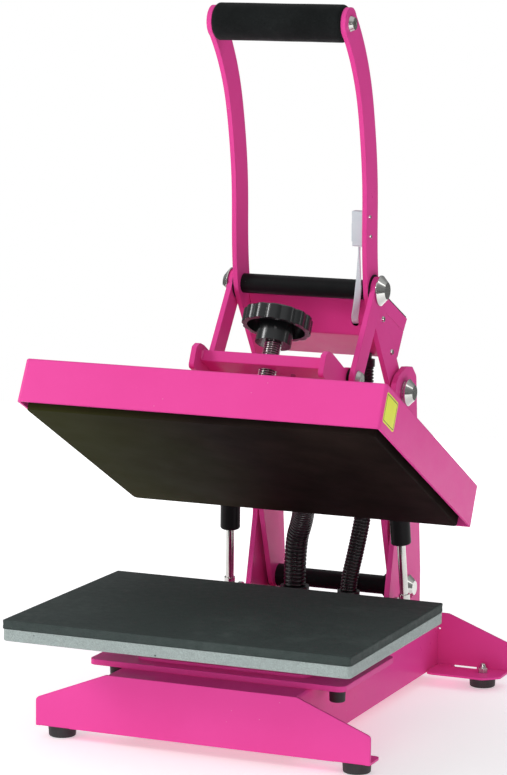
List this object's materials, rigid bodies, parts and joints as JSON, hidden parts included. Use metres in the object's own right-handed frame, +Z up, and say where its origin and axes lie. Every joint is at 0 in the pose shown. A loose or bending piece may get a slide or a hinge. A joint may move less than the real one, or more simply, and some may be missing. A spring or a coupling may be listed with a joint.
{
  "type": "tabletop heat press",
  "caption": "Clamshell tabletop heat press in pink painted steel, with a hinged heated platen, foam-grip lever, pressure knob and gas springs",
  "frame": {"origin": "centre of the bounding box's bottom face, on the table", "axes": "+X to the object's right seen from the front, +Y to the rear, +Z up"},
  "size_m": [0.3972, 0.5061, 0.765],
  "materials": {
    "pink_paint": "glossy hot pink powder coat",
    "bare_aluminium": "cast, sand textured",
    "coated_plate": "smooth black non-stick coating",
    "bright_steel": "bright plated",
    "zinc_steel": "zinc plated",
    "black_steel": "satin black paint",
    "brass": "turned",
    "silicone": "dark grey-green silicone foam sheet, matt",
    "foam": "closed-cell black foam",
    "black_rubber": "moulded, semi-matt",
    "black_plastic": "glossy moulded",
    "conduit_plastic": "corrugated polyamide",
    "white_plastic": "moulded",
    "grey_button": "soft touch",
    "red_button": "soft touch",
    "display_glass": "smoked window",
    "board_green": "lacquered laminate",
    "fibre_board": "pressed mineral fibre"
  },
  "bodies": {
    "base": {"base_channel": "pink_paint", "front_bracket": "pink_paint", "rear_bracket": "pink_paint", "rubber_feet": "black_rubber", "base_fasteners": "zinc_steel", "sub_plate": "pink_paint", "plate_bumpers": "black_rubber", "platen_pedestal": "pink_paint", "lower_platen": "bare_aluminium", "silicone_pad": "silicone", "uprights": "pink_paint", "carrier_shaft": "bright_steel", "pivot_caps": "bright_steel", "handle_pivot_bolts": "bright_steel", "spring_foot_brackets": "zinc_steel", "base_glands": "black_plastic", "platen_conduit": "conduit_plastic", "control_conduit": "conduit_plastic"},
    "carrier": {"carrier_arm_left": "pink_paint", "carrier_arm_right": "pink_paint", "cross_bar": "pink_paint", "carrier_tube": "black_steel", "carrier_bolts": "zinc_steel"},
    "heat_platen": {"platen_cover": "pink_paint", "heating_plate": "coated_plate", "heating_element": "zinc_steel", "insulation_board": "fibre_board", "plate_bolts": "bright_steel", "temperature_sensor": "brass", "spindle_bearing": "zinc_steel", "guide_pin": "bright_steel", "platen_gland": "black_plastic"},
    "spindle": {"pressure_spindle": "bright_steel", "pressure_knob": "black_plastic"},
    "link": {"links": "pink_paint", "link_caps": "bright_steel"},
    "handle": {"handle_arm_left": "pink_paint", "handle_arm_right": "pink_paint", "grip_core": "zinc_steel", "foam_grip": "foam", "handle_tube": "black_steel", "handle_shaft": "bright_steel", "handle_screws": "bright_steel", "control_box": "pink_paint", "control_panel": "black_plastic", "display_window": "display_glass", "circuit_board": "board_green", "mains_inlet": "black_plastic", "switch_frame": "black_plastic", "closing_sensor": "white_plastic", "sensor_lead": "white_plastic", "control_gland": "black_plastic"},
    "set_button": {"button_set": "red_button"},
    "down_button": {"button_down": "grey_button"},
    "up_button": {"button_up": "grey_button"},
    "rocker": {"power_switch": "red_button"},
    "spring_rod_left": {"gas_spring_rod_left": "bright_steel"},
    "spring_rod_right": {"gas_spring_rod_right": "bright_steel"},
    "spring_cylinder_left": {"gas_spring_cylinder_left": "black_steel"},
    "spring_cylinder_right": {"gas_spring_cylinder_right": "black_steel"}
  },
  "joints": [
    {"name": "carrier_lift", "type": "hinge", "parent": "base", "child": "carrier", "pos_m": [0, 0.201, 0.112], "axis": [1, 0, 0], "range_deg": [0, 27.1], "stiffness_Nm_per_rad": 60, "springref_deg": -51.57, "deforming": ["platen_conduit"]},
    {"name": "handle_swing", "type": "hinge", "parent": "base", "child": "handle", "pos_m": [0, 0.178, 0.337], "axis": [1, 0, 0], "range_deg": [0, 70.43], "deforming": ["control_conduit"]},
    {"name": "link_swing", "type": "hinge", "parent": "carrier", "child": "link", "pos_m": [0, 0.031, 0.37], "axis": [1, 0, 0], "range_deg": [-63.63, 0]},
    {"name": "platen_slide", "type": "slide", "parent": "carrier", "child": "heat_platen", "axis": [0, 0.4555, 0.8902], "range_m": [-0.0002, 0.005]},
    {"name": "spindle_turn", "type": "hinge", "parent": "heat_platen", "child": "spindle", "pos_m": [0, -0.01494, 0.37357], "axis": [0, 0.4555, 0.8902], "range_deg": [-29.4, 721]},
    {"name": "spring_swing_left", "type": "hinge", "parent": "base", "child": "spring_rod_left", "pos_m": [-0.1055, 0.139, 0.104], "axis": [1, 0, 0], "range_deg": [0, 29.27]},
    {"name": "spring_stroke_left", "type": "slide", "parent": "spring_rod_left", "child": "spring_cylinder_left", "axis": [0.0431, -0.1064, 0.9934], "range_m": [-0.02852, 0]},
    {"name": "spring_swing_right", "type": "hinge", "parent": "base", "child": "spring_rod_right", "pos_m": [0.1055, 0.139, 0.104], "axis": [1, 0, 0], "range_deg": [0, 29.27]},
    {"name": "spring_stroke_right", "type": "slide", "parent": "spring_rod_right", "child": "spring_cylinder_right", "axis": [-0.0431, -0.1064, 0.9934], "range_m": [-0.02852, 0]},
    {"name": "press_set", "type": "slide", "parent": "handle", "child": "set_button", "axis": [0, -0.4184, -0.9083], "range_m": [0, 0.0008], "stiffness_N_per_m": 600, "springref_m": -0.0006},
    {"name": "press_down", "type": "slide", "parent": "handle", "child": "down_button", "axis": [0, -0.4184, -0.9083], "range_m": [0, 0.0008], "stiffness_N_per_m": 600, "springref_m": -0.0006},
    {"name": "press_up", "type": "slide", "parent": "handle", "child": "up_button", "axis": [0, -0.4184, -0.9083], "range_m": [0, 0.0008], "stiffness_N_per_m": 600, "springref_m": -0.0006},
    {"name": "rocker_tilt", "type": "hinge", "parent": "handle", "child": "rocker", "pos_m": [0.012, 0.19725, 0.38758], "axis": [0, -0.5547, -0.8321], "range_deg": [0, 13]}
  ],
  "couplings": [
    {"joint": "handle_swing", "follows": "carrier_lift", "ratio": 2.597},
    {"joint": "link_swing", "follows": "carrier_lift", "ratio": -2.346},
    {"joint": "spring_swing_left", "follows": "carrier_lift", "ratio": 1.0783},
    {"joint": "spring_swing_right", "follows": "carrier_lift", "ratio": 1.0783},
    {"joint": "spring_stroke_left", "follows": "carrier_lift", "m_per_rad": -0.060198},
    {"joint": "spring_stroke_right", "follows": "carrier_lift", "m_per_rad": -0.060198},
    {"joint": "spindle_turn", "follows": "platen_slide", "rad_per_m": 2513.3}
  ]
}
